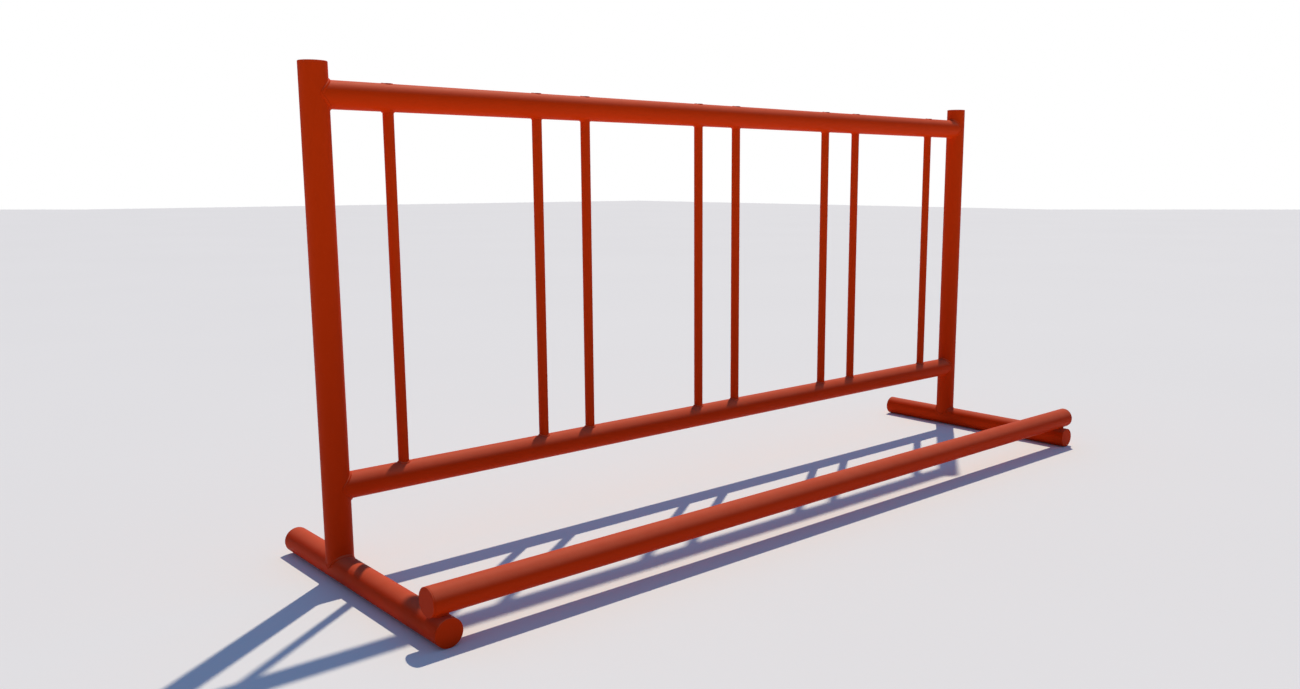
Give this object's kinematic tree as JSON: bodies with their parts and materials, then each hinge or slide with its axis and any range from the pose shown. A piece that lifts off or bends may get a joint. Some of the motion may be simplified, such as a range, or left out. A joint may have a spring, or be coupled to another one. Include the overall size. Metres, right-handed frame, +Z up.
{
  "type": "bicycle rack",
  "caption": "Floor-standing bicycle rack of welded round steel tube, with paired upright bars that hold wheels and a low front rail.",
  "frame": {"origin": "on the floor, midway between the two posts and midway along the feet", "axes": "+Z up, +X along the rack to the right as seen by a rider parking a bicycle, +Y from the open front towards the back; the posts and bars stand in the plane y = 0.1 m"},
  "size_m": [1.965, 0.6, 0.93],
  "materials": {
    "tube_paint": "satin red-orange powder coat on steel tube",
    "bar_paint": "satin red-orange powder coat on solid round bar",
    "weld_paint": "satin red-orange powder coat over weld bead"
  },
  "bodies": {
    "root": {"bar_welds_above_top_rail": "weld_paint", "bar_welds_on_lower_rail": "weld_paint", "bar_welds_under_top_rail": "weld_paint", "foot_left": "tube_paint", "foot_left_front_cap": "tube_paint", "foot_left_rear_cap": "tube_paint", "foot_right": "tube_paint", "foot_right_front_cap": "tube_paint", "foot_right_rear_cap": "tube_paint", "ground_rail": "tube_paint", "ground_rail_left_cap": "tube_paint", "ground_rail_left_weld": "weld_paint", "ground_rail_right_cap": "tube_paint", "ground_rail_right_weld": "weld_paint", "lower_rail": "tube_paint", "lower_rail_left_weld": "weld_paint", "lower_rail_right_weld": "weld_paint", "post_left": "tube_paint", "post_left_cap": "tube_paint", "post_left_foot_weld": "weld_paint", "post_right": "tube_paint", "post_right_cap": "tube_paint", "post_right_foot_weld": "weld_paint", "top_rail": "tube_paint", "top_rail_left_weld": "weld_paint", "top_rail_right_weld": "weld_paint", "wheel_bar_1": "bar_paint", "wheel_bar_2": "bar_paint", "wheel_bar_3": "bar_paint", "wheel_bar_4": "bar_paint", "wheel_bar_5": "bar_paint", "wheel_bar_6": "bar_paint", "wheel_bar_7": "bar_paint", "wheel_bar_8": "bar_paint"}
  },
  "joints": []
}
